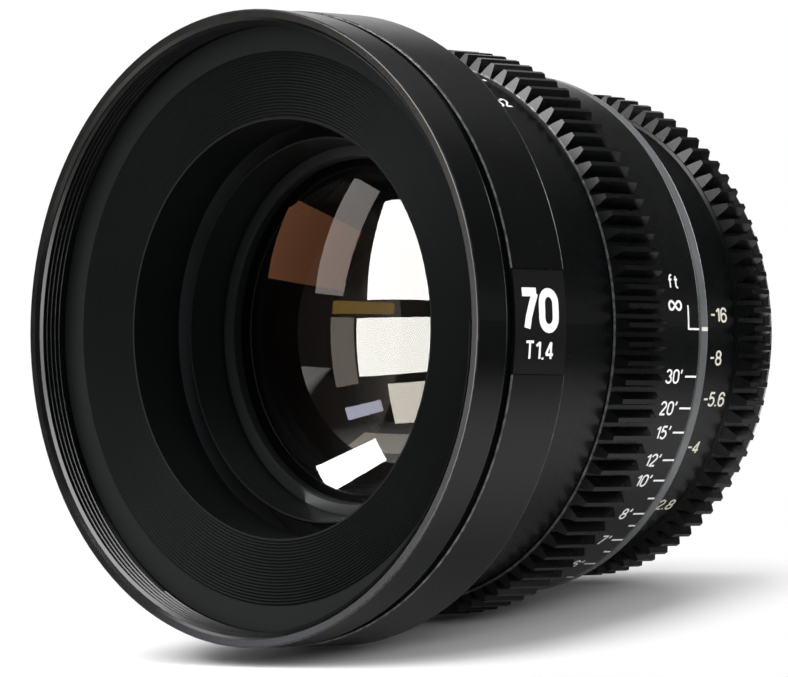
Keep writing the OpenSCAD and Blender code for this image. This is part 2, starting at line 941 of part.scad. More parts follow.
// one blade, drawn wide open with its pivot on +X
module blade_shape(y) {
    pin = pin_at(0);
    reach = atan2(pin[1], pin[0] - pivot_r);
    difference() {
        union() {
            intersection() {
                tube(blade_outer_r, stop_r, y, y + blade_t);
                wedge(0, blade_span, pivot_r, y - over, y + over);
            }
            translate([stop_r + eye_r, y, -arm_half])
                cube([pivot_r - stop_r - eye_r, blade_t, 2 * arm_half]);
            rod(eye_r, pivot_r, y, y + blade_t);
            translate([pivot_r, 0, 0])
                rotate([0, -reach, 0])
                    translate([0, y, -lever_w / 2])
                        cube([lever_len, blade_t, lever_w]);
            translate([pin[0], y, pin[1]])
                rotate([-90, 0, 0])
                    cylinder(h = blade_t, r = pin_eye_r);
            translate([pin[0], y, pin[1]])
                rotate([-90, 0, 0])
                    cylinder(h = cam_y1 - run_fit * 2 - y, r = pin_r);
        }
        rod(post_r + run_fit, pivot_r, y - over, y + over);
    }
}

// blade number i at the aperture ring's rest position
module iris_blade(i) {
    color("#55585e")
    rotate([0, -i * 360 / blades, 0])
        translate([pivot_r, 0, 0])
            rotate([0, -blade_rest, 0])
                translate([-pivot_r, 0, 0])
                    blade_shape(blade_y0 + i * blade_step);
}

module iris_cam() {
    swings = [for (k = [0:slot_steps])
        -slot_over + k * (blade_swing + 2 * slot_over) / slot_steps];
    near = [for (s = swings) pin_in_cam(s) + slot_half * cam_normal(s)];
    far = [for (k = [slot_steps:-1:0])
        let (s = swings[k])
        pin_in_cam(s) - slot_half * cam_normal(s)];
    color("#7b6b45")
    difference() {
        tube(cam_r, cam_bore, cam_y0, cam_y1);
        around(blades, 0)
            prism(concat(near, far), cam_y0 - over, cam_y1 + over);
        rotate([0, -bar_at, 0])
            translate([bar_r0, cam_y0 - over, -bar_w / 2])
                cube([over * 4, cam_t + 2 * over, bar_w]);
    }
}

module iris_bar() {
    color("#9a9da3")
    rotate([0, -bar_at, 0])
        translate([bar_r0, cam_y0, -bar_w / 2])
            cube([bar_r1 - bar_r0, bar_y1 - cam_y0, bar_w]);
}

// aperture ring

module aperture_ring() {
    color("#202124")
    difference() {
        union() {
            turned(concat(
                [[0, iris_y0]],
                rounded(iris_scale_r - edge, iris_y0 + edge, -90, 0),
                [
                    [iris_scale_r, iris_gear_y0 - edge],
                    [iris_root_r, iris_gear_y0],
                    [iris_root_r, iris_y1],
                    [0, iris_y1]
                ]
            ));
            teeth(iris_teeth, iris_gear_y0, iris_y1, iris_tooth_lead, iris_tooth_trail);
        }
        tube(tail_r + run_fit, 0, iris_y0 - over, iris_y1 + over);
        rotate([0, -bar_at, 0])
            for (side = [-1, 1])
                translate([0, 0, side * fork_screw_at]) {
                    spoke(fork_screw_r, tail_r - over, iris_scale_r + over, (fork_y0 + fork_y1) / 2);
                    spoke(fork_head_r + screw_gap, iris_scale_r - fork_head_r, iris_scale_r + over, (fork_y0 + fork_y1) / 2);
                }
    }
}

module aperture_fork() {
    color("#9a9da3")
    rotate([0, -bar_at, 0])
        difference() {
            intersection() {
                translate([fork_r0, fork_y0, -fork_w / 2])
                    cube([tail_r, fork_y1 - fork_y0, fork_w]);
                tube(tail_r + run_fit, fork_r0 - over, fork_y0 - over, fork_y1 + over);
            }
            translate([fork_r0 - over, fork_y0 - over, -fork_slot_w / 2])
                cube([bar_r1 + run_fit - fork_r0 + over, fork_y1 - fork_y0 + 2 * over, fork_slot_w]);
            for (side = [-1, 1])
                translate([0, 0, side * fork_screw_at])
                    spoke(fork_screw_r, fork_r0 - over, tail_r + over, (fork_y0 + fork_y1) / 2);
        }
}

module fork_screws() {
    color("#8d9096")
    rotate([0, -bar_at, 0])
        for (side = [-1, 1])
            translate([iris_scale_r - fork_head_r, (fork_y0 + fork_y1) / 2, side * fork_screw_at])
                rotate([0, 90, 0])
                    screw(fork_screw_r, fork_head_r, fork_head_r / 2, fork_screw_len);
}

front_ring();
front_baffle();
front_barrel();
label_plate();
inner_barrel();
barrel_screws();
focus_stop_pin();
index_ring();
rear_barrel();
bayonet_mount();
mount_screws();
focus_ring();
lens_block();
guide_shoes();
shoe_screws();
front_cell();
front_retainer();
doublet_retainer();
lens_1();
lens_2();
lens_3();
rear_cell();
cell_screws();
lens_4();
lens_5();
rear_spacer();
lens_6();
rear_retainer();
iris_plate();
iris_blade(0);  // iris_blade_1
iris_blade(1);  // iris_blade_2
iris_blade(2);  // iris_blade_3
iris_blade(3);  // iris_blade_4
iris_blade(4);  // iris_blade_5
iris_blade(5);  // iris_blade_6
iris_blade(6);  // iris_blade_7
iris_blade(7);  // iris_blade_8
iris_cam();
iris_bar();
aperture_ring();
aperture_fork();
fork_screws();
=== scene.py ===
"""Cinema prime lens: finishes, scales, accessory thread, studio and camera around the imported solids.

Metres. The optical axis is Y, the front faces -Y, the mount flange is the plane y = 0 and +Z is up.
Angles round the axis start at +X, where the index line is, and grow towards +Z.
"""

from __future__ import annotations

import logging
import math
from dataclasses import dataclass, replace
from enum import Enum

import bmesh
import bpy
from mathutils import Matrix, Quaternion, Vector


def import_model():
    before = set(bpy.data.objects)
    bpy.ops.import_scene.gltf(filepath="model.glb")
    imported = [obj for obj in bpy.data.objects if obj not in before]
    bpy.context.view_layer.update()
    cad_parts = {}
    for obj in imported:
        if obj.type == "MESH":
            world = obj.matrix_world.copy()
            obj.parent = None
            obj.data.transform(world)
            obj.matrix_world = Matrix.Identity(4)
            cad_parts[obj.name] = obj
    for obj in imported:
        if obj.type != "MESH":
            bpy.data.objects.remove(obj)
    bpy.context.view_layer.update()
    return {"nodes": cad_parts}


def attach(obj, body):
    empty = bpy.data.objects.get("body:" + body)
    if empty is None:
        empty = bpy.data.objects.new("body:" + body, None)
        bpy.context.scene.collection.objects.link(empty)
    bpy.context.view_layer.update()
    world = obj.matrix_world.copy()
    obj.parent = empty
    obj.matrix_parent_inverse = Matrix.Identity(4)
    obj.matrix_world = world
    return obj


Pair = tuple[float, float]
Point = tuple[float, float, float]
Color = Point
Stroke = list[Pair]
Socket = bpy.types.NodeSocket
Material = bpy.types.Material
Vert = bmesh.types.BMVert

LOG = logging.getLogger("lens")
MM = 0.001

# Grain sizes of the finishes in metres
CLOUD = 9 * MM
DULL = 2.5 * MM
BLAST = 0.14 * MM
TOOL_PITCH = 0.16 * MM
# Patches that break up the edge lines of wear and painted highlight
WEAR_AND_HIGHLIGHT_PATCH = 0.9 * MM
MACHINED = 0.5 * MM
SPECK = 0.2 * MM
GLASS_HAZE = 12 * MM

# Range that holds most of a noise
NOISE_LOW, NOISE_HIGH = 0.3, 0.7

# Share of the turning lines in the height of a turned surface
LINE_SHARE = 0.35

# Edge lines of bare metal, partly wear and partly a painted highlight: where the bare metal ends, where the
# dyed skin begins, and the bare metal's colour
WEAR_AND_HIGHLIGHT_FULL, WEAR_AND_HIGHLIGHT_END = 0.08 * MM, 0.26 * MM
BARE_AND_HIGHLIGHT: Color = (0.34, 0.34, 0.35)

# Painted figures: thickness, rise of each stroke over the last so that crossing strokes share no face,
# gap between figures as a share of their height, and length of the slices that bend round the barrel
PAINT = 0.03 * MM
STROKE_RISE = 0.1
GAP = 0.21
SLICE = 0.7 * MM

# Edges of the added pieces that are sharper than this many degrees stay sharp
SHARP = 35.0

BLACK: Color = (0.0, 0.0, 0.0)


class Body(Enum):
    """Moving bodies that the pieces of this scene ride on."""

    BARREL = "barrel"
    FOCUS = "focus"
    APERTURE = "aperture"


class Rays(Enum):
    """Rays that a light panel answers to."""

    GLOSS = "gloss"
    DIFFUSE = "diffuse"


class Shader:
    """Node tree of one material, with its principled shader and short calls for the nodes used here."""

    def __init__(self, name: str) -> None:
        """Starts a material.

        Args:
            name: the material's name.
        """
        self.material = bpy.data.materials.new(name)
        self.material.use_nodes = True
        self.tree = self.material.node_tree
        self.surface = self.tree.nodes["Principled BSDF"]

    def add(self, kind: str, **settings: object) -> bpy.types.Node:
        """Adds a node.

        Args:
            kind: the node's type.
            settings: properties of the node.

        Returns:
            The new node.
        """
        node = self.tree.nodes.new(kind)
        for key, value in settings.items():
            setattr(node, key, value)
        return node

    def wire(self, start: Socket, end: Socket) -> None:
        """Joins two sockets.

        Args:
            start: an output.
            end: an input.
        """
        self.tree.links.new(start, end)

    def put(self, slot: Socket, value: object) -> None:
        """Links an input or sets it to a constant.

        Args:
            slot: the input.
            value: a socket or the constant.
        """
        if isinstance(value, Socket):
            self.wire(value, slot)
        else:
            slot.default_value = value

    def set(self, **values: object) -> None:
        """Links or sets inputs of the principled shader.

        Args:
            values: sockets or constants by the inputs' names, with underscores for spaces.
        """
        for key, value in values.items():
            self.put(self.surface.inputs[key.replace("_", " ")], value)

    def place(self) -> Socket:
        """Finds the place on the surface.

        Returns:
            The object coordinates' socket.
        """
        return self.add("ShaderNodeTexCoord").outputs["Object"]

    def math(self, operation: str, first: object, second: object = 0.0) -> Socket:
        """Works out two values.

        Args:
            operation: the math node's operation.
            first: a number or a socket.
            second: a number or a socket.

        Returns:
            The result's socket.
        """
        node = self.add("ShaderNodeMath", operation=operation)
        for slot, value in zip(node.inputs, (first, second)):
            self.put(slot, value)
        return node.outputs[0]

    def noise(self, where: Socket, grain: float, detail: float = 3.0) -> Socket:
        """Adds a noise of a given grain size.

        Args:
            where: coordinates.
            grain: size of the grain in metres.
            detail: octaves of the noise.

        Returns:
            The noise value's socket.
        """
        node = self.add("ShaderNodeTexNoise")
        node.inputs["Scale"].default_value = 1.0 / grain
        node.inputs["Detail"].default_value = detail
        self.wire(where, node.inputs["Vector"])
        return node.outputs[0]

    def remap(
        self, value: Socket, low: float, high: float, to_low: float = 0.0, to_high: float = 1.0
    ) -> Socket:
        """Maps a range of values onto another.

        Args:
            value: the value's socket.
            low: start of the range.
            high: end of the range.
            to_low: what the start becomes.
            to_high: what the end becomes.

        Returns:
            The mapped value's socket.
        """
        node = self.add("ShaderNodeMapRange")
        self.wire(value, node.inputs["Value"])
        ends = {"From Min": low, "From Max": high, "To Min": to_low, "To Max": to_high}
        for key, number in ends.items():
            node.inputs[key].default_value = number
        return node.outputs["Result"]

    def mix(self, share: Socket, first: object, second: object) -> Socket:
        """Mixes two colours.

        Args:
            share: share of the second colour.
            first: a colour or a socket.
            second: a colour or a socket.

        Returns:
            The mixed colour's socket.
        """
        node = self.add("ShaderNodeMix", data_type="RGBA")
        self.wire(share, node.inputs[0])
        for slot, value in ((node.inputs[6], first), (node.inputs[7], second)):
            self.put(slot, value if isinstance(value, Socket) else (*value, 1.0))
        return node.outputs[2]

    def along(self, where: Socket, way: Vector) -> Socket:
        """Measures coordinates along a direction.

        Args:
            where: coordinates.
            way: the direction.

        Returns:
            The measure's socket.
        """
        node = self.add("ShaderNodeVectorMath", operation="DOT_PRODUCT")
        self.wire(where, node.inputs[0])
        node.inputs[1].default_value = way
        return node.outputs["Value"]

    def bump(self, height: Socket, depth: float, strength: float) -> None:
        """Puts a bump on the surface.

        Args:
            height: the height's socket.
            depth: depth of the bump in metres.
            strength: share of the bump.
        """
        node = self.add("ShaderNodeBump")
        node.inputs["Strength"].default_value = strength
        node.inputs["Distance"].default_value = depth
        self.wire(height, node.inputs["Height"])
        self.set(Normal=node.outputs["Normal"])


class Sky(Shader):
    """Node tree of the surroundings."""

    def __init__(self, world: bpy.types.World) -> None:
        """Starts from a world.

        Args:
            world: the world, with its nodes in use.
        """
        self.tree = world.node_tree
        self.surface = self.tree.nodes["Background"]


def shade(color: Color, factor: float) -> Color:
    """Makes a colour lighter or darker.

    Args:
        color: the colour.
        factor: what its light is multiplied by.

    Returns:
        The shaded colour.
    """
    red, green, blue = (min(1.0, part * factor) for part in color)
    return red, green, blue


@dataclass(frozen=True)
class Anodised:
    """Dyed anodised aluminium with a fine blasted grain, turning lines and lighter edge lines of bare metal,
    partly wear and partly a painted highlight.

    Attributes:
        name: the material's name.
        color: colour of the dyed skin.
        roughness: mean roughness.
        grain: depth of the blasted grain in metres.
        lines: depth of the turning lines in metres.
        edges: station and radius of the edge lines of wear and painted highlight, in millimetres.
        rub_and_highlight: how far those edge lines show the bare metal of wear and painted highlight.
        shine: level of the skin's mirror reflection.
    """

    name: str
    color: Color
    roughness: float
    grain: float = 4e-6
    lines: float = 0.0
    edges: tuple[Pair, ...] = ()
    rub_and_highlight: float = 0.5
    shine: float = 0.34

    def material(self) -> Material:
        """Builds the material.

        Returns:
            The finished material.
        """
        shader = Shader(self.name)
        where = shader.place()
        cloud = shader.remap(shader.noise(where, CLOUD, 4.0), NOISE_LOW, NOISE_HIGH)
        skin = shader.mix(cloud, shade(self.color, 0.82), shade(self.color, 1.2))
        spots = shader.noise(where, DULL)
        dull = shader.remap(spots, 0.25, 0.75, self.roughness - 0.02, self.roughness + 0.02)
        height = shader.noise(where, BLAST, 2.0)
        if self.lines:
            height = self._turned(shader, where, height)
        shader.bump(height, self.lines or self.grain, 0.6)
        # Lighter bare-metal edge lines: partly wear, partly a painted highlight of the edges' sheen
        if self.edges:
            wear_and_highlight = self._wear_and_highlight(shader, where)
            skin = shader.mix(wear_and_highlight, skin, BARE_AND_HIGHLIGHT)
            shader.set(Metallic=wear_and_highlight)
        shader.set(Base_Color=skin, Roughness=dull, Specular_IOR_Level=self.shine)
        return shader.material

    def _turned(self, shader: Shader, where: Socket, grain: Socket) -> Socket:
        """Adds turning lines to the grain.

        Args:
            shader: the material in work.
            where: object coordinates.
            grain: height of the grain.

        Returns:
            The height of lines and grain.
        """
        radius, along = self._section(shader, where)
        phase = shader.math("MULTIPLY", shader.math("ADD", radius, along), math.tau / TOOL_PITCH)
        wave = shader.math("MULTIPLY", shader.math("SINE", phase), LINE_SHARE)
        return shader.math("ADD", wave, grain)

    @staticmethod
    def _section(shader: Shader, where: Socket) -> tuple[Socket, Socket]:
        """Turns object coordinates into the barrel's section.

        Args:
            shader: the material in work.
            where: object coordinates.

        Returns:
            The radius and the station along the axis.
        """
        parts = shader.add("ShaderNodeSeparateXYZ")
        shader.wire(where, parts.inputs[0])
        across = shader.math("MULTIPLY", parts.outputs["X"], parts.outputs["X"])
        upward = shader.math("MULTIPLY", parts.outputs["Z"], parts.outputs["Z"])
        return shader.math("SQRT", shader.math("ADD", across, upward)), parts.outputs["Y"]

    def _wear_and_highlight(self, shader: Shader, where: Socket) -> Socket:
        """Finds the edge lines of bare metal, partly wear and partly a painted highlight.

        Args:
            shader: the material in work.
            where: object coordinates.

        Returns:
            The share of bare metal, for wear and painted highlight.
        """
        radius, along = self._section(shader, where)
        nearest: object = 1.0
        for station, out in self.edges:
            by_y = shader.math("ABSOLUTE", shader.math("SUBTRACT", along, station * MM))
            by_r = shader.math("ABSOLUTE", shader.math("SUBTRACT", radius, out * MM))
            nearest = shader.math("MINIMUM", shader.math("ADD", by_y, by_r), nearest)
        line = shader.remap(nearest, WEAR_AND_HIGHLIGHT_FULL, WEAR_AND_HIGHLIGHT_END, self.rub_and_highlight, 0.0)
        patches = shader.remap(shader.noise(where, WEAR_AND_HIGHLIGHT_PATCH), 0.4, 0.65, 0.3, 1.0)
        return shader.math("MULTIPLY", line, patches)


@dataclass(frozen=True)
class Metal:
    """Bare or plated metal with fine machining marks.

    Attributes:
        name: the material's name.
        color: colour of the metal.
        roughness: mean roughness.
    """

    name: str
    color: Color
    roughness: float

    def material(self) -> Material:
        """Builds the material.

        Returns:
            The finished material.
        """
        shader = Shader(self.name)
        where = shader.place()
        marks = shader.noise(where, MACHINED, 5.0)
        tone = shader.mix(marks, shade(self.color, 0.88), shade(self.color, 1.08))
        dull = shader.remap(marks, NOISE_LOW, NOISE_HIGH, self.roughness - 0.03, self.roughness + 0.04)
        shader.bump(marks, 1e-6, 0.4)
        shader.set(Base_Color=tone, Roughness=dull, Metallic=1.0)
        return shader.material


@dataclass(frozen=True)
class Paint:
    """Filled-in scale paint or label stock.

    Attributes:
        name: the material's name.
        color: colour of the paint.
        roughness: mean roughness.
    """

    name: str
    color: Color
    roughness: float

    def material(self) -> Material:
        """Builds the material.

        Returns:
            The finished material.
        """
        shader = Shader(self.name)
        where = shader.place()
        speck = shader.noise(where, SPECK)
        tone = shader.mix(shader.remap(speck, NOISE_LOW, NOISE_HIGH), shade(self.color, 0.9), self.color)
        dull = shader.remap(speck, NOISE_LOW, NOISE_HIGH, self.roughness - 0.05, self.roughness + 0.05)
        shader.bump(speck, 3e-6, 0.4)
        shader.set(Base_Color=tone, Roughness=dull)
        return shader.material


@dataclass(frozen=True)
class CoatedGlass:
    """Optical glass with a tinted coating on each face.

    Attributes:
        name: the material's name.
        tint: colour of light that passes.
        front: colour of the front face's reflection.
        rear: colour of the rear face's reflection.
        split: station along the axis that parts the two faces, in millimetres.
        index: refractive index.
        strength: strength of the reflections.
    """

    name: str
    tint: Color
    front: Color
    rear: Color
    split: float
    index: float
    strength: float

    def material(self) -> Material:
        """Builds the material.

        Returns:
            The finished material.
        """
        shader = Shader(self.name)
        where = shader.place()
        haze = shader.noise(where, GLASS_HAZE, 2.0)
        body = shader.mix(haze, self.tint, shade(self.tint, 0.97))
        parts = shader.add("ShaderNodeSeparateXYZ")
        shader.wire(where, parts.inputs[0])
        side = shader.math("GREATER_THAN", parts.outputs["Y"], self.split * MM)
        shader.set(Base_Color=body, Specular_Tint=shader.mix(side, self.front, self.rear))
        shader.set(Roughness=0.0, IOR=self.index, Transmission_Weight=1.0, Specular_IOR_Level=self.strength)
        return shader.material


@dataclass(frozen=True)
class InnerGlass:
    """Coated glass behind the front one, drawn without bending so that the iris shows through it.

    Attributes:
        name: the material's name.
        color: colour of the coating.
        cover: share of the light that each face holds back.
    """

    name: str
    color: Color
    cover: float = 0.06

    def material(self) -> Material:
        """Builds the material.

        Returns:
            The finished material.
        """
        shader = Shader(self.name)
        haze = shader.noise(shader.place(), GLASS_HAZE, 2.0)
        body = shader.mix(haze, self.color, shade(self.color, 0.8))
        shader.set(Base_Color=body, Roughness=0.03, IOR=1.7, Alpha=self.cover)
        return shader.material


def arc(x: float, y: float, across: float, up: float, start: float, end: float) -> Stroke:
    """Returns points of an arc.

    Args:
        x: middle across.
        y: middle upward.
        across: radius across.
        up: radius upward.
        start: first direction in degrees.
        end: last direction in degrees.

    Returns:
        The points.
    """
    steps = max(4, int(abs(end - start) / 18))
    turns = [math.radians(start + (end - start) * step / steps) for step in range(steps + 1)]
    return [(x + across * math.cos(turn), y + up * math.sin(turn)) for turn in turns]


def lemniscate(x: float, y: float, across: float, up: float) -> Stroke:
    """Returns points of the infinity sign.

    Args:
        x: middle across.
        y: middle upward.
        across: half of its width.
        up: half of its height.

    Returns:
        The points.
    """
    steps, start, rise = 40, 0.08, 2.83
    points: Stroke = []
    for step in range(steps + 1):
        turn = math.tau * step / steps + start
        wide = math.cos(turn) / (1 + math.sin(turn) ** 2)
        points.append((x + across * wide, y + up * rise * math.sin(turn) * wide))
    return points


# Figures by width and strokes, with a height of 1
GLYPHS: dict[str, tuple[float, list[Stroke]]] = {
    "0": (0.5, [arc(0.25, 0.7, 0.25, 0.3, 0, 180) + arc(0.25, 0.3, 0.25, 0.3, 180, 360) + [(0.5, 0.7)]]),
    "1": (0.26, [[(0.0, 0.76), (0.26, 0.97)], [(0.26, 1.0), (0.26, 0.0)]]),
    "2": (0.5, [arc(0.25, 0.73, 0.24, 0.27, 172, -28) + [(0.02, 0.02)], [(-0.02, 0.0), (0.5, 0.0)]]),
    "3": (0.5, [arc(0.24, 0.755, 0.23, 0.245, 165, -90), arc(0.24, 0.265, 0.26, 0.265, 90, -165)]),
    "4": (0.52, [[(0.36, 0.0), (0.36, 1.0)], [(0.35, 0.98), (0.0, 0.28)], [(-0.02, 0.26), (0.52, 0.26)]]),
    "5": (
        0.5,
        [[(0.46, 1.0), (0.06, 1.0)], [(0.09, 1.0), (0.05, 0.5)], arc(0.24, 0.32, 0.26, 0.32, 140, -150)],
    ),
    "6": (0.5, [arc(0.25, 0.3, 0.25, 0.3, 0, 360), arc(0.25, 0.68, 0.25, 0.32, 15, 180) + [(0.0, 0.3)]]),
    "7": (0.5, [[(0.0, 1.0), (0.52, 1.0)], [(0.48, 0.98), (0.34, 0.66), (0.22, 0.32), (0.16, 0.0)]]),
    "8": (0.5, [arc(0.25, 0.75, 0.21, 0.25, 0, 360), arc(0.25, 0.26, 0.25, 0.26, 0, 360)]),
    ".": (0.06, [[(0.03, -0.04), (0.03, 0.08)]]),
    "'": (0.12, [[(0.1, 1.04), (0.02, 0.74)]]),
    "f": (0.3, [arc(0.28, 0.8, 0.16, 0.2, 75, 180) + [(0.12, 0.0)], [(0.0, 0.64), (0.28, 0.64)]]),
    "t": (
        0.3,
        [[(0.12, 0.92), (0.12, 0.18)] + arc(0.26, 0.18, 0.14, 0.18, 190, 280), [(0.0, 0.64), (0.28, 0.64)]],
    ),
    "T": (0.56, [[(0.0, 1.0), (0.56, 1.0)], [(0.28, 1.0), (0.28, 0.0)]]),
    "∞": (1.1, [lemniscate(0.55, 0.5, 0.55, 0.34)]),
    "⌀": (0.62, [arc(0.31, 0.5, 0.31, 0.42, 0, 360), [(0.02, 0.0), (0.6, 1.0)]]),
}


class Shaper:
    """Mesh in work, shaped by bmesh operators and finished as an object at the origin."""

    def __init__(self) -> None:
        """Starts an empty mesh."""
        self.bm = bmesh.new()

    def helix(self, profile: list[Pair], turns: float, pitch: float, steps: int) -> None:
        """Sweeps a closed profile along a helix round the optical axis.

        Args:
            profile: corners as radius and y, in metres.
            turns: number of turns.
            pitch: advance per turn in metres.
            steps: steps per turn.
        """
        corners = [self.bm.verts.new((radius, y, 0.0)) for radius, y in profile]
        face = self.bm.faces.new(corners)
        count = int(steps * turns)
        bmesh.ops.spin(
            self.bm,
            geom=[face, *face.edges, *face.verts],
            cent=(0, 0, 0),
            axis=(0, 1, 0),
            dvec=(0, pitch / steps, 0),
            angle=2 * math.pi * turns,
            steps=count,
        )

    def figures(self, body: str, height: float, weight: float, stretch: float) -> list[Vert]:
        """Draws raised figures with a pen, centred on the origin of the XY plane.

        Args:
            body: the figures.
            height: height over the strokes in metres.
            weight: width of the pen in metres.
            stretch: width of the figures against their height.

        Returns:
            The new vertices.
        """
        before = set(self.bm.verts)
        tall = height - weight
        wide = tall * stretch
        cursor = 0.0
        lines: list[list[Vector]] = []
        for char in body:
            width, strokes = GLYPHS[char]
            for stroke in strokes:
                lines.append([Vector(((cursor + x) * wide, (y - 0.5) * tall, 0)) for x, y in stroke])
            cursor += width + GAP
        middle = (cursor - GAP) * wide / 2
        for number, line in enumerate(lines):
            fresh = set(self.bm.verts)
            self._pen([point - Vector((middle, 0, 0)) for point in line], weight)
            self._raise(fresh, PAINT * (1 + STROKE_RISE * (number % 4)))
        return [v for v in self.bm.verts if v not in before]

    def _pen(self, line: list[Vector], weight: float) -> None:
        """Drags a flat pen along a line.

        Args:
            line: points of the line.
            weight: width of the pen in metres.
        """
        loop = (line[0] - line[-1]).length < 1e-7
        sides: list[Vector] = []
        for here, point in enumerate(line):
            last = line[here - 1] if here else (line[-2] if loop else point)
            after = line[here + 1] if here + 1 < len(line) else (line[1] if loop else point)
            way_in, way_out = (point - last).normalized(), (after - point).normalized()
            way = (way_in + way_out).normalized()
            lean = way.dot(way_out if way_out.length else way_in)
            sides.append(Vector((-way.y, way.x, 0)) * (weight / 2 / max(lean, 0.5)))
        ends = [self.bm.verts.new(line[0] + sides[0]), self.bm.verts.new(line[0] - sides[0])]
        edge = self.bm.edges.new(ends)
        made = list(ends)
        for point, side in zip(line[1:], sides[1:]):
            grown = bmesh.ops.extrude_edge_only(self.bm, edges=[edge])["geom"]
            edge = next(item for item in grown if isinstance(item, bmesh.types.BMEdge))
            verts = [item for item in grown if isinstance(item, Vert)]
            first = next(v for v in verts if ends[0] in [e.other_vert(v) for e in v.link_edges])
            second = next(v for v in verts if v is not first)
            first.co, second.co = point + side, point - side
            ends = [first, second]
            made += ends
        bmesh.ops.remove_doubles(self.bm, verts=made, dist=1e-8)

    def bar(self, width: float, height: float) -> list[Vert]:
        """Adds a flat raised bar centred on the origin of the XY plane.

        Args:
            width: size along X in metres.
            height: size along Y in metres.

        Returns:
            The new vertices.
        """
        before = set(self.bm.verts)
        made = bmesh.ops.create_grid(self.bm, x_segments=1, y_segments=1, size=0.5)["verts"]
        bmesh.ops.scale(self.bm, verts=made, vec=(width, height, 1))
        return self._raise(before, PAINT)

    def _raise(self, before: set[Vert], thick: float) -> list[Vert]:
        """Slices new flat faces for bending and gives them a thickness.

        Args:
            before: vertices that were there already.
            thick: thickness in metres.

        Returns:
            All the new vertices.
        """
        fresh = [v for v in self.bm.verts if v not in before]
        low, high = min(v.co.y for v in fresh), max(v.co.y for v in fresh)
        slices = int((high - low) / SLICE)
        for cut in range(1, slices + 1):
            level = low + (high - low) * cut / (slices + 1)
            new = {v for v in self.bm.verts if v not in before}
            geom = [*new, *{e for v in new for e in v.link_edges}, *{f for v in new for f in v.link_faces}]
            bmesh.ops.bisect_plane(self.bm, geom=geom, plane_co=(0, level, 0), plane_no=(0, 1, 0))
        faces = list({f for v in self.bm.verts if v not in before for f in v.link_faces})
        lifted = bmesh.ops.extrude_face_region(self.bm, geom=faces, use_keep_orig=True)["geom"]
        tops = [v for v in lifted if isinstance(v, Vert)]
        bmesh.ops.translate(self.bm, verts=tops, vec=(0, 0, thick))
        return [v for v in self.bm.verts if v not in before]

    @staticmethod
    def wrap(verts: list[Vert], radius: float, angle: float, y: float) -> None:
        """Bends flat vertices onto a cylinder, X along the axis and Y round it.

        Args:
            verts: the vertices.
            radius: radius of the cylinder in metres.
            angle: middle of the piece in degrees.
            y: middle of the piece along the axis in metres.
        """
        for vert in verts:
            turn = math.radians(angle) + vert.co.y / radius
            out = radius + vert.co.z
            vert.co = Vector((out * math.cos(turn), y + vert.co.x, out * math.sin(turn)))

    def finish(self, name: str, body: Body, material: Material, slot: str) -> None:
        """Makes the mesh an object that rides on a body.

        Args:
            name: the piece's name.
            body: the body that carries it.
            material: its finish.
            slot: name of the material slot that the piece belongs to; not used.
        """
        bmesh.ops.recalc_face_normals(self.bm, faces=self.bm.faces)
        for face in self.bm.faces:
            face.smooth = True
        for edge in self.bm.edges:
            edge.smooth = len(edge.link_faces) == 2 and edge.calc_face_angle(0.0) < math.radians(SHARP)
        mesh = bpy.data.meshes.new(name)
        self.bm.to_mesh(mesh)
        self.bm.free()
        mesh.materials.append(material)
        piece = bpy.data.objects.new(name, mesh)
        bpy.context.scene.collection.objects.link(piece)
        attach(piece, body.value)
        LOG.info("%s: %d faces on %s", name, len(mesh.polygons), body.value)


def dress(nodes: dict[str, bpy.types.Object], names: tuple[str, ...], material: Material) -> None:
    """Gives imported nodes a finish.

    Args:
        nodes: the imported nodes.
        names: nodes to dress.
        material: the finish.
    """
    for name in names:
        mesh = nodes[name].data
        mesh.materials.clear()
        mesh.materials.append(material)
    LOG.info("%s on %s", material.name, ", ".join(names))


@dataclass(frozen=True)
class Mark:
    """Figures drawn with a pen and bent onto a cylinder round the axis, with lengths in millimetres.

    Attributes:
        body: the figures.
        height: height over the strokes.
        weight: width of the pen.
        stretch: width of the figures against their height.
        radius: radius of the cylinder.
        station: place along the axis.
        angle: middle of the figures round the axis in degrees.
        end: what is at the station: -1 for the figures' front end, 1 for the rear end, 0 for the middle.
    """

    body: str
    height: float
    weight: float
    stretch: float
    radius: float
    station: float
    angle: float = 0.0
    end: int = 0

    def draw(self, shaper: Shaper) -> None:
        """Draws the figures.

        Args:
            shaper: the mesh in work.
        """
        verts = shaper.figures(self.body, self.height * MM, self.weight * MM, self.stretch)
        spread = [v.co.x for v in verts]
        shift = {-1: min(spread), 0: 0.0, 1: max(spread)}[self.end]
        shaper.wrap(verts, self.radius * MM, self.angle, self.station * MM - shift)


@dataclass(frozen=True)
class Bar:
    """Raised bar bent onto a cylinder round the axis, with lengths in millimetres.

    Attributes:
        ends: start and end along the axis.
        width: size round the axis.
        radius: radius of the cylinder.
        angle: middle of the bar round the axis in degrees.
    """

    ends: Pair
    width: float
    radius: float
    angle: float = 0.0

    def draw(self, shaper: Shaper) -> None:
        """Draws the bar.

        Args:
            shaper: the mesh in work.
        """
        start, end = self.ends
        verts = shaper.bar((end - start) * MM, self.width * MM)
        shaper.wrap(verts, self.radius * MM, self.angle, (start + end) / 2 * MM)


Item = Mark | Bar


@dataclass(frozen=True)
class Lettering:
    """Painted figures and lines that ride on one body.

    Attributes:
        name: the piece's name.
        body: the body that carries it.
        slot: name of the material slot that it belongs to.
        items: the figures and lines.
    """

    name: str
    body: Body
    slot: str
    items: tuple[Item, ...]

    def build(self, paint: Material) -> None:
        """Builds the piece.

        Args:
            paint: its paint.
        """
        shaper = Shaper()
        for item in self.items:
            item.draw(shaper)
        shaper.finish(self.name, self.body, paint, self.slot)


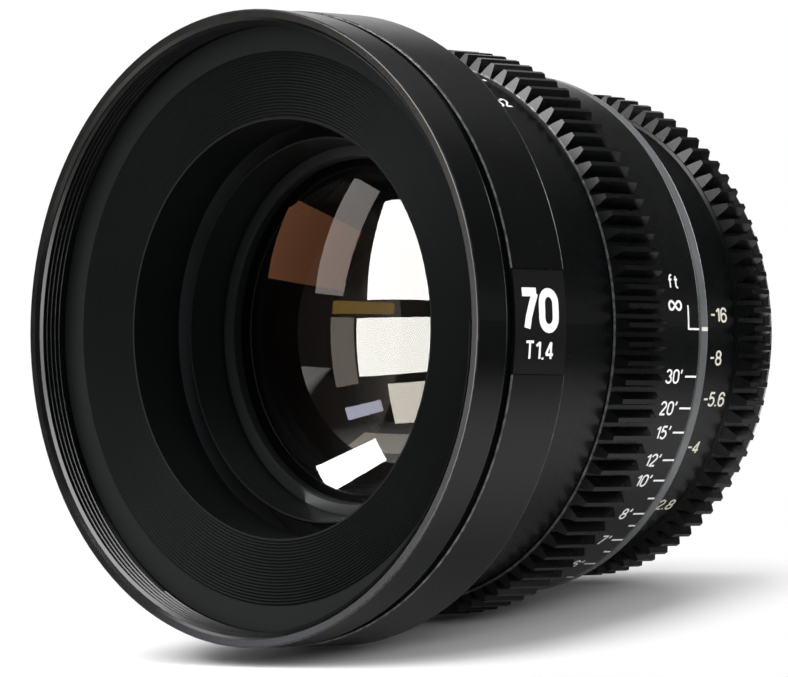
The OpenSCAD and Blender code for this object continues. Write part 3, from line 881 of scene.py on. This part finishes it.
def row(figure: Mark, tick: Bar, places: dict[str, float]) -> tuple[Item, ...]:
    """Repeats a figure and its tick round a ring.

    Args:
        figure: pattern of the figures.
        tick: pattern of the ticks.
        places: the figures and their angles in degrees.

    Returns:
        The figures and ticks.
    """
    items: list[Item] = []
    for body, angle in places.items():
        items += [replace(figure, body=body, angle=angle), replace(tick, angle=angle)]
    return tuple(items)


# Radii of the painted faces in millimetres: label, index ring, distance scale, front land, stop scale
LABEL_R, INDEX_R, SCALE_R, LAND_R, STOP_R = 42.5, 36.1, 36.2, 36.6, 31.8

LABEL = Lettering(
    "label_figures",
    Body.BARREL,
    "label_black",
    (
        Mark("70", 5.85, 1.15, 1.1, LABEL_R, -59.75, 2.0),
        Mark("T1.4", 2.55, 0.36, 1.16, LABEL_R, -59.6, -5.0),
    ),
)
INDEX = Lettering(
    "index_line", Body.BARREL, "index_grey", (Bar((-20.375, -19.175), 0.55, INDEX_R, -0.4),)
)

# Patterns of the distance scale: figure in feet, its tick, and the short tick between two figures
FEET = Mark("", 2.0, 0.27, 1.16, SCALE_R, -23.9, end=1)
TICK = Bar((-23.3, -21.05), 0.27, SCALE_R)
MINOR = Bar((-22.4, -21.05), 0.27, SCALE_R)

# Unit, infinity sign with its line and tick, distances, short ticks, then the thread's size and its dot
DISTANCES = Lettering(
    "distance_scale",
    Body.FOCUS,
    "ring_black",
    (
        Mark("ft", 2.0, 0.27, 1.3, SCALE_R, -25.73, 9.7),
        Mark("∞", 2.0, 0.34, 1.35, SCALE_R, -25.8, 4.5),
        Bar((-23.335, -23.065), SCALE_R * math.radians(5.2), SCALE_R, 2.0),
        replace(TICK, angle=-0.45),
        *row(
            FEET,
            TICK,
            {
                "30'": -10.65, "20'": -17.6, "15'": -23.1, "12'": -29.65, "10'": -34.8, "8'": -44.0,
                "7'": -52.45, "6'": -62.0, "5'": -77.5, "4'": -103.7, "3'": -156.6, "2.6'": -195.4,
            },
        ),
        *(replace(MINOR, angle=angle) for angle in (-39.6, -47.7, -56.9, -69.2, -88.7, -124.7)),
        Mark("⌀82", 2.1, 0.3, 1.16, LAND_R, -43.95, 55.6),
        Bar((-39.95, -39.45), 0.5, LAND_R, 66.9),
    ),
)
STOPS = Lettering(
    "stop_scale",
    Body.APERTURE,
    "ring_black",
    row(
        Mark("", 2.1, 0.28, 1.14, STOP_R, -12.4, end=-1),
        Bar((-13.4, -12.65), 0.27, STOP_R),
        {"16": 3.4, "8": -7.2, "5.6": -17.6, "4": -30.5, "2.8": -49.0, "2": -68.5, "1.4": -87.9},
    ),
)


@dataclass
class Thread:
    """Turns of the accessory thread inside the front ring, with lengths in millimetres.

    Attributes:
        major_r: major radius.
        crest_r: radius of the crests.
        sunk: how far the turns reach into the ring.
        ends: start and end along the axis.
        pitch: advance per turn.
        crest_share: half width of a crest as a share of the pitch.
        root_share: half width of a turn at its root as a share of the pitch.
        steps: steps per turn.
    """

    major_r: float = 41.0
    crest_r: float = 40.54
    sunk: float = 0.05
    ends: Pair = (-70.85, -66.85)
    pitch: float = 0.75
    crest_share: float = 0.125
    root_share: float = 0.44
    steps: int = 160

    def build(self, finish: Material) -> None:
        """Builds the turns.

        Args:
            finish: the front ring's finish.
        """
        shaper = Shaper()
        start, end = self.ends
        root, crest = (self.major_r + self.sunk) * MM, self.crest_r * MM
        flat, half = self.pitch * self.crest_share, self.pitch * self.root_share
        profile = [
            (root, (start - half) * MM),
            (crest, (start - flat) * MM),
            (crest, (start + flat) * MM),
            (root, (start + half) * MM),
        ]
        shaper.helix(profile, (end - start) / self.pitch, self.pitch * MM, self.steps)
        shaper.finish("accessory_thread", Body.BARREL, finish, "barrel_black")


@dataclass(frozen=True)
class Panel:
    """Soft light panel, placed by the directions that it fills as seen from its target.

    Attributes:
        name: the panel's name.
        azimuths: directions round the target, 0 in front of the lens and growing to its +X side.
        elevations: directions above the horizon.
        away: distance from the target in metres.
        strength: brightness of its face.
        color: colour of its light.
        target: the point that it faces.
        rays: the rays that it answers to.
    """

    name: str
    azimuths: Pair
    elevations: Pair
    away: float
    strength: float
    color: Color = (1.0, 1.0, 1.0)
    target: Point = (0.0, -0.054, 0.0)
    rays: Rays = Rays.GLOSS


@dataclass
class Studio:
    """Pale floor, soft panels, white background and the camera.

    Distances are in metres and angles in degrees. Pairs give the start and end of a fade.

    Attributes:
        rest: station along the axis and height where the lens rests on the floor.
        lean: slope of the floor against the optical axis, as the narrower rear drops onto it.
        reach: half of the floor's size.
        pale: colour of the floor.
        dark: colour of the floor to mirrored rays, away from the object.
        heart: point that the floor's fades are measured from.
        whiten: distances over which the floor becomes the white background.
        dusk: distances over which the floor darkens to mirrored rays.
        dusk_least: share of that darkening near the object.
        floor_behind: depths behind the object from which mirrored rays meet a white floor.
        floor_past: depths from which rays through glass meet a white floor.
        sky_behind: closeness to the camera's direction from which mirrored rays meet white.
        sky_past: closeness to the camera's direction from which rays through glass meet white.
        eye: the camera's place.
        azimuth: direction of the camera round the object.
        elevation: height angle of the camera.
        roll: lean of the camera to its right.
        lens: focal length for the sensor's width.
        sensor: width of the sensor, in millimetres like the focal length.
        sky: brightness of the surroundings to mirrored rays.
        haze: brightness of the surroundings to scattered rays.
        panels: the light panels.
    """

    rest: Pair = (-0.0544, -0.04265)
    lean: float = 8.7
    reach: float = 4.0
    pale: Color = (0.9, 0.9, 0.9)
    dark: Color = (0.02, 0.02, 0.02)
    heart: Point = (0.0, -0.035, -0.04)
    whiten: Pair = (0.032, 0.064)
    dusk: Pair = (0.045, 0.14)
    dusk_least: float = 0.25
    floor_behind: Pair = (0.03, 0.12)
    floor_past: Pair = (-0.02, 0.05)
    sky_behind: Pair = (0.76, 0.96)
    sky_past: Pair = (-0.2, 0.3)
    eye: Point = (0.541788, -0.60367, -0.020195)
    azimuth: float = 44.01
    elevation: float = -1.41
    roll: float = 0.4316
    lens: float = 260.94
    sensor: float = 36.0
    sky: float = 0.04
    haze: float = 0.6
    panels: tuple[Panel, ...] = (
        Panel("sky_panel", (-105, 5), (35, 95), 1.1, 4.8, rays=Rays.DIFFUSE),
        Panel("fill_panel", (40, 90), (8, 34), 1.1, 2.6, rays=Rays.DIFFUSE),
        Panel("top_panel", (110, 250), (45, 88), 0.9, 0.5),
        Panel("tooth_panel", (-80, -50), (36, 60), 0.8, 5.5),
        Panel("edge_card", (168, 192), (0, 24), 0.35, 6.0),
        Panel("upper_card", (-36, 6), (9, 52), 0.6, 13.2),
        Panel(
            "upper_edge", (-65.6, -30.2), (-24.6, 65.4), 0.01, 1.6,
            color=(1.0, 0.93, 0.9), target=(0.00089, -0.0522, 0.01227),
        ),
        Panel(
            "amber_card", (-97, -17), (-14, 48), 0.01, 0.62,
            color=(1.0, 0.4, 0.2), target=(-0.0037, -0.0524, 0.0107),
        ),
        Panel("shelf_card", (-46, -22), (5.2, 8.2), 0.6, 1.2, color=(1.0, 0.6, 0.12)),
        Panel("lower_card", (-36, 6), (-10.4, 4.4), 0.6, 11.2, color=(1.0, 1.0, 0.97)),
        Panel(
            "lower_edge", (-54.8, -28.4), (-33.7, 27.3), 0.01, 1.15,
            color=(1.0, 0.9, 0.8), target=(0.00171, -0.05389, -0.00293),
        ),
        Panel(
            "side_card", (-27, 6), (-24, -10.4), 0.12, 7.0,
            color=(1.0, 0.95, 0.85), target=(0.009, -0.052, -0.011),
        ),
        Panel("strip_card", (-83, -11), (-38.7, -13.3), 0.01, 12.5, target=(0.0011, -0.0498, -0.0174)),
        Panel(
            "box_card", (-46, -29), (-18.5, -15), 0.12, 5.0,
            color=(0.75, 0.78, 1.0), target=(0.004, -0.053, -0.0105),
        ),
        Panel(
            "dim_sheet", (127.1004, 232.8996), (-88.98845, -73.61155), 0.1, 1.6,
            color=(1.0, 0.92, 0.82), target=(-0.04, -0.129626, 0.048503),
        ),
    )

    def build(self) -> None:
        """Builds the floor, the lights, the surroundings and the camera."""
        self._floor()
        for panel in self.panels:
            self._panel(panel)
        self._surroundings()
        self._camera()

    def _floor(self) -> None:
        """Builds the floor, which fades to white away from the object where the camera sees it."""
        bm = bmesh.new()
        bmesh.ops.create_grid(bm, x_segments=1, y_segments=1, size=self.reach)
        bmesh.ops.rotate(bm, verts=bm.verts, matrix=Matrix.Rotation(math.radians(self.lean), 3, "X"))
        bmesh.ops.translate(bm, verts=bm.verts, vec=(0, *self.rest))
        mesh = bpy.data.meshes.new("floor")
        bm.to_mesh(mesh)
        bm.free()
        mesh.materials.append(self._floor_finish())
        floor = bpy.data.objects.new("floor", mesh)
        bpy.context.scene.collection.objects.link(floor)

    def _floor_finish(self) -> Material:
        """Builds the floor's material.

        Returns:
            The finished material.
        """
        shader = Shader("pale_floor")
        where = shader.place()
        away = shader.add("ShaderNodeVectorMath", operation="DISTANCE")
        shader.wire(where, away.inputs[0])
        away.inputs[1].default_value = self.heart
        distance = away.outputs["Value"]
        fade = shader.remap(distance, *self.whiten)
        far = shader.remap(distance, *self.dusk, self.dusk_least, 1.0)
        depth = shader.along(where, self._ahead())
        behind = shader.remap(depth, *self.floor_behind)
        past = shader.remap(depth, *self.floor_past)
        seen = shader.math("MULTIPLY", fade, self._white_rays(shader, behind, past))
        glossy = shader.add("ShaderNodeLightPath").outputs["Is Glossy Ray"]
        aside = shader.math("SUBTRACT", shader.math("MULTIPLY", far, glossy), behind)
        plain = shader.mix(shader.math("MAXIMUM", aside, 0.0), self.pale, self.dark)
        shader.set(Base_Color=shader.mix(seen, plain, BLACK), Roughness=0.9, Specular_IOR_Level=0.0)
        shader.set(Emission_Color=(1.0, 1.0, 1.0, 1.0), Emission_Strength=seen)
        return shader.material

    def _panel(self, panel: Panel) -> None:
        """Builds one light panel, a lamp that the camera doesn't see, nor rays through glass.

        Args:
            panel: the panel.
        """
        around = sum(panel.azimuths) / 2
        above = sum(panel.elevations) / 2
        half_w = math.radians(panel.azimuths[1] - panel.azimuths[0]) / 2
        half_h = math.radians(panel.elevations[1] - panel.elevations[0]) / 2
        width = 2 * panel.away * math.tan(half_w) * math.cos(math.radians(above))
        height = 2 * panel.away * math.tan(half_h)
        lamp = bpy.data.lights.new(panel.name, "AREA")
        lamp.shape = "RECTANGLE"
        lamp.size, lamp.size_y = width, height
        lamp.color = panel.color
        lamp.energy = panel.strength * math.pi * width * height
        toward = self._toward(around, above)
        holder = bpy.data.objects.new(panel.name, lamp)
        holder.location = Vector(panel.target) + toward * panel.away
        holder.rotation_mode = "QUATERNION"
        holder.rotation_quaternion = (-toward).to_track_quat("-Z", "Y")
        holder.visible_camera = False
        holder.visible_transmission = False
        holder.visible_diffuse = panel.rays is Rays.DIFFUSE
        holder.visible_glossy = panel.rays is Rays.GLOSS
        bpy.context.scene.collection.objects.link(holder)

    def _surroundings(self) -> None:
        """Makes the surroundings white behind the object, pale to scattered rays and dark elsewhere."""
        world = bpy.data.worlds.new("surroundings")
        world.use_nodes = True
        bpy.context.scene.world = world
        sky = Sky(world)
        where = sky.add("ShaderNodeTexCoord").outputs["Generated"]
        depth = sky.along(where, self._ahead())
        behind = sky.remap(depth, *self.sky_behind)
        past = sky.remap(depth, *self.sky_past)
        path = sky.add("ShaderNodeLightPath")
        dim = sky.remap(path.outputs["Is Diffuse Ray"], 0.0, 1.0, self.sky, self.haze)
        level = sky.math("MAXIMUM", self._white_rays(sky, behind, past), dim)
        sky.set(Color=(1.0, 1.0, 1.0, 1.0), Strength=level)

    @staticmethod
    def _toward(azimuth: float, elevation: float) -> Vector:
        """Turns angles into a direction.

        Args:
            azimuth: angle round the object, 0 in front of the lens and growing to its +X side.
            elevation: angle above the horizon.

        Returns:
            The direction away from the object.
        """
        around, above = math.radians(azimuth), math.radians(elevation)
        level = math.cos(above)
        return Vector((math.sin(around) * level, -math.cos(around) * level, math.sin(above)))

    def _ahead(self) -> Vector:
        """Finds the level direction in which the camera looks.

        Returns:
            The direction.
        """
        return -self._toward(self.azimuth, 0.0)

    @staticmethod
    def _white_rays(shader: Shader, behind: Socket, past: Socket) -> Socket:
        """Finds the rays that meet the white background.

        Args:
            shader: the node tree in work.
            behind: share that mirrored rays meet, close round the direction behind the object.
            past: share that rays through glass meet, anywhere past the object.

        Returns:
            1 for rays of the camera, and its share for mirrored rays and rays through glass.
        """
        path = shader.add("ShaderNodeLightPath")
        mirrored = shader.math("MULTIPLY", path.outputs["Is Glossy Ray"], behind)
        passed = shader.math("MULTIPLY", path.outputs["Is Transmission Ray"], past)
        return shader.math("MAXIMUM", path.outputs["Is Camera Ray"], shader.math("MAXIMUM", passed, mirrored))

    def _camera(self) -> None:
        """Builds the camera at the picture's view."""
        back = self._toward(self.azimuth, self.elevation)
        data = bpy.data.cameras.new("camera")
        data.sensor_width = self.sensor
        data.lens = self.lens
        data.clip_start, data.clip_end = 0.01, 50.0
        camera = bpy.data.objects.new("camera", data)
        camera.location = self.eye
        camera.rotation_mode = "QUATERNION"
        lean = Quaternion((0, 0, 1), -math.radians(self.roll))
        camera.rotation_quaternion = (-back).to_track_quat("-Z", "Y") @ lean
        bpy.context.scene.collection.objects.link(camera)
        bpy.context.scene.camera = camera


Finish = Anodised | Metal | Paint | CoatedGlass | InnerGlass
Plan = list[tuple[Finish, tuple[str, ...]]]


@dataclass
class Finishes:
    """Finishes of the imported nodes.

    Attributes:
        black: colour of the dyed barrel.
        inside: colour of the matt inside.
        amber: reflection of the rear glass's front face.
        violet: reflection of its rear face.
        ember: reflection of the front glass's rear face.
    """

    black: Color = (0.0022, 0.0026, 0.0029)
    inside: Color = (0.0016, 0.0026, 0.0028)
    amber: Color = (0.5, 0.2, 0.09)
    violet: Color = (0.5, 0.4, 0.9)
    ember: Color = (0.006, 0.0025, 0.001)

    def apply(self, nodes: dict[str, bpy.types.Object]) -> Material:
        """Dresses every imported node.

        Args:
            nodes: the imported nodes.

        Returns:
            The finish of the front ring, for its thread.
        """
        made: dict[str, Material] = {}
        for finish, names in (*self._barrel(), *self._inside(), *self._glass()):
            made[finish.name] = finish.material()
            dress(nodes, names, made[finish.name])
        return made["front_black"]

    def _barrel(self) -> Plan:
        """Lists the finishes of the outside.

        Returns:
            Each finish with its nodes.
        """
        # Edges that get lighter bare-metal lines, partly wear and partly a painted highlight
        front_edges = ((-71.3, 42.5), (-65.7, 42.5))
        band_edges = ((-64.5, 42.6), (-54.4, 42.6))
        focus_edges = ((-39.0, 37.0), (-20.8, 36.2), (-54.15, 36.6))
        stop_edges = ((-8.2, 34.0),)
        return [
            (Anodised("front_black", self.black, 0.24, edges=front_edges, rub_and_highlight=0.14), ("front_ring",)),
            (Anodised("band_black", self.black, 0.26, edges=band_edges, rub_and_highlight=0.9), ("front_barrel",)),
            (Anodised("tail_black", self.black, 0.32), ("rear_barrel",)),
            (Anodised("focus_black", self.black, 0.28, edges=focus_edges, rub_and_highlight=0.8), ("focus_ring",)),
            (Anodised("stop_black", self.black, 0.28, edges=stop_edges, rub_and_highlight=0.5), ("aperture_ring",)),
            (Anodised("baffle_black", self.inside, 0.6, lines=4e-6, shine=0.08), ("front_baffle",)),
            (Anodised("index_grey", (0.105, 0.111, 0.116), 0.24, lines=2e-6), ("index_ring",)),
            (Paint("label_black", (0.004, 0.004, 0.0045), 0.34), ("label_plate",)),
            (Metal("satin_chrome", (0.62, 0.63, 0.65), 0.26), ("bayonet_mount",)),
        ]

    def _inside(self) -> Plan:
        """Lists the finishes of the inside.

        Returns:
            Each finish with its nodes.
        """
        rings = ("front_retainer", "doublet_retainer", "rear_spacer", "rear_retainer")
        screws = ("barrel_screws", "mount_screws", "shoe_screws", "cell_screws", "fork_screws")
        blades = tuple(f"iris_blade_{number}" for number in range(1, 9))
        return [
            (
                Anodised("cell_black", self.inside, 0.55, lines=4e-6, shine=0.08),
                ("front_cell", "rear_cell", *rings),
            ),
            (Anodised("slide_grey", (0.05, 0.052, 0.056), 0.42), ("inner_barrel",)),
            (Anodised("block_grey", (0.012, 0.0125, 0.0134), 0.5, shine=0.12), ("lens_block",)),
            (
                Metal("screw_steel", (0.5, 0.51, 0.53), 0.3),
                (*screws, "focus_stop_pin", "iris_bar", "aperture_fork"),
            ),
            (Metal("machined_brass", (0.62, 0.46, 0.2), 0.3), ("guide_shoes", "iris_cam")),
            (Anodised("iris_black", (0.05, 0.05, 0.053), 0.4), (*blades, "iris_plate")),
        ]

    def _glass(self) -> Plan:
        """Lists the glasses.

        Returns:
            Each glass with its nodes.
        """
        front = CoatedGlass(
            "front_glass", tint=(0.92, 0.82, 0.72), front=(1.0, 0.98, 0.95), rear=self.ember,
            split=-47.2, index=1.75, strength=1.0,
        )
        rear = CoatedGlass(
            "rear_glass", tint=(0.98, 0.98, 0.97), front=self.amber, rear=self.violet,
            split=-11.0, index=1.62, strength=0.3,
        )
        return [
            (front, ("lens_1",)),
            (InnerGlass("pair_glass", (0.05, 0.02, 0.009)), ("lens_2", "lens_3")),
            (InnerGlass("back_glass", (0.03, 0.02, 0.04)), ("lens_4", "lens_5")),
            (rear, ("lens_6",)),
        ]


def main() -> None:
    """Builds the scene."""
    logging.basicConfig(level=logging.INFO, format="%(name)s: %(message)s")
    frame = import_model()
    bpy.context.scene.view_settings.view_transform = "Standard"
    rim = Finishes().apply(frame["nodes"])
    white = Paint("scale_white", (0.85, 0.85, 0.83), 0.5).material()
    cream = Paint("stop_cream", (0.72, 0.69, 0.58), 0.5).material()
    Thread().build(rim)
    LABEL.build(white)
    INDEX.build(cream)
    DISTANCES.build(white)
    STOPS.build(cream)
    Studio().build()


if __name__ == "__main__":
    main()
